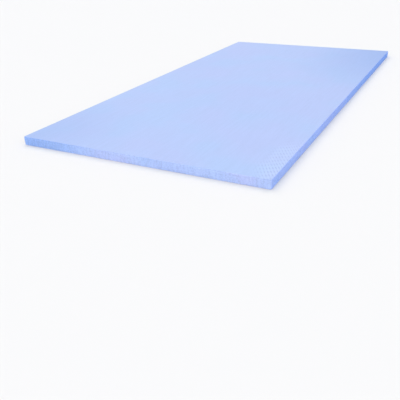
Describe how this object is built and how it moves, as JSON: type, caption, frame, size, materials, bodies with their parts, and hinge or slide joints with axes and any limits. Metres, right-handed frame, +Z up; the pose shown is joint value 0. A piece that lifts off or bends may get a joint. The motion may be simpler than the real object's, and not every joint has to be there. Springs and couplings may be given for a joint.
{
  "type": "xps insulation board",
  "caption": "Flat square-edged board of extruded polystyrene foam insulation, smooth skinned faces and cut edges, lying flat.",
  "frame": {"origin": "centre of the bottom face, on the surface that the board lies on", "axes": "+X across the board's width, +Y along its length, +Z up through its thickness"},
  "size_m": [0.6, 1.25, 0.02],
  "materials": {
    "xps_foam": "matt pale periwinkle-blue closed-cell foam: smooth extruded skin on both faces, granular cut cells on the edges"
  },
  "bodies": {
    "root": {"board": "xps_foam"}
  },
  "joints": []
}
